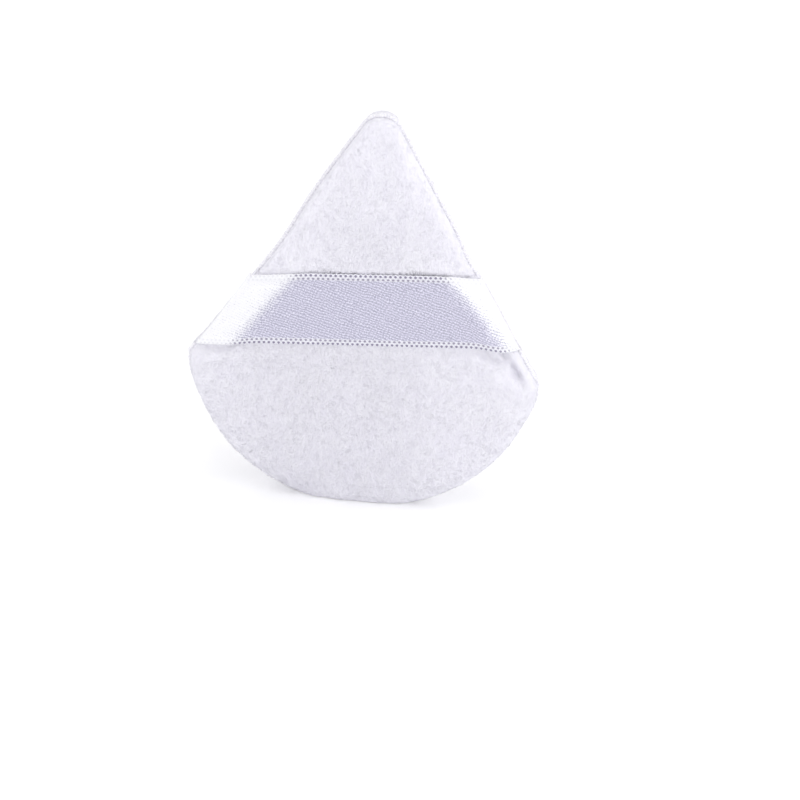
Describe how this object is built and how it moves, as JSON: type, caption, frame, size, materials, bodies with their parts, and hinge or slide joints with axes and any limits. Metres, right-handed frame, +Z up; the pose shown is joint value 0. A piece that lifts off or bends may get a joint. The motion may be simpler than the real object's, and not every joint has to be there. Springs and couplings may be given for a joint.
{
  "type": "powder puff",
  "caption": "Triangular velour powder puff with a domed powder side, a flat back and a satin finger ribbon caught in the side seams.",
  "frame": {"origin": "on the surface the puff stands on, under the middle of its box", "axes": "+Z up towards the tip, X across the width, -Y towards the flat side that carries the ribbon, +Y towards the domed powder side"},
  "size_m": [0.0651, 0.0138, 0.0819],
  "materials": {
    "velour": "short-pile cotton velour",
    "sponge": "soft open-cell foam",
    "satin": "single-face satin ribbon with woven edges",
    "thread": "whipped cotton thread"
  },
  "bodies": {
    "root": {"applicator_cover": "velour", "ribbon_side_cover": "velour", "foam_core": "sponge", "ribbon_band": "satin", "edge_stitching_base": "thread", "edge_stitching_tip": "thread"}
  },
  "joints": []
}
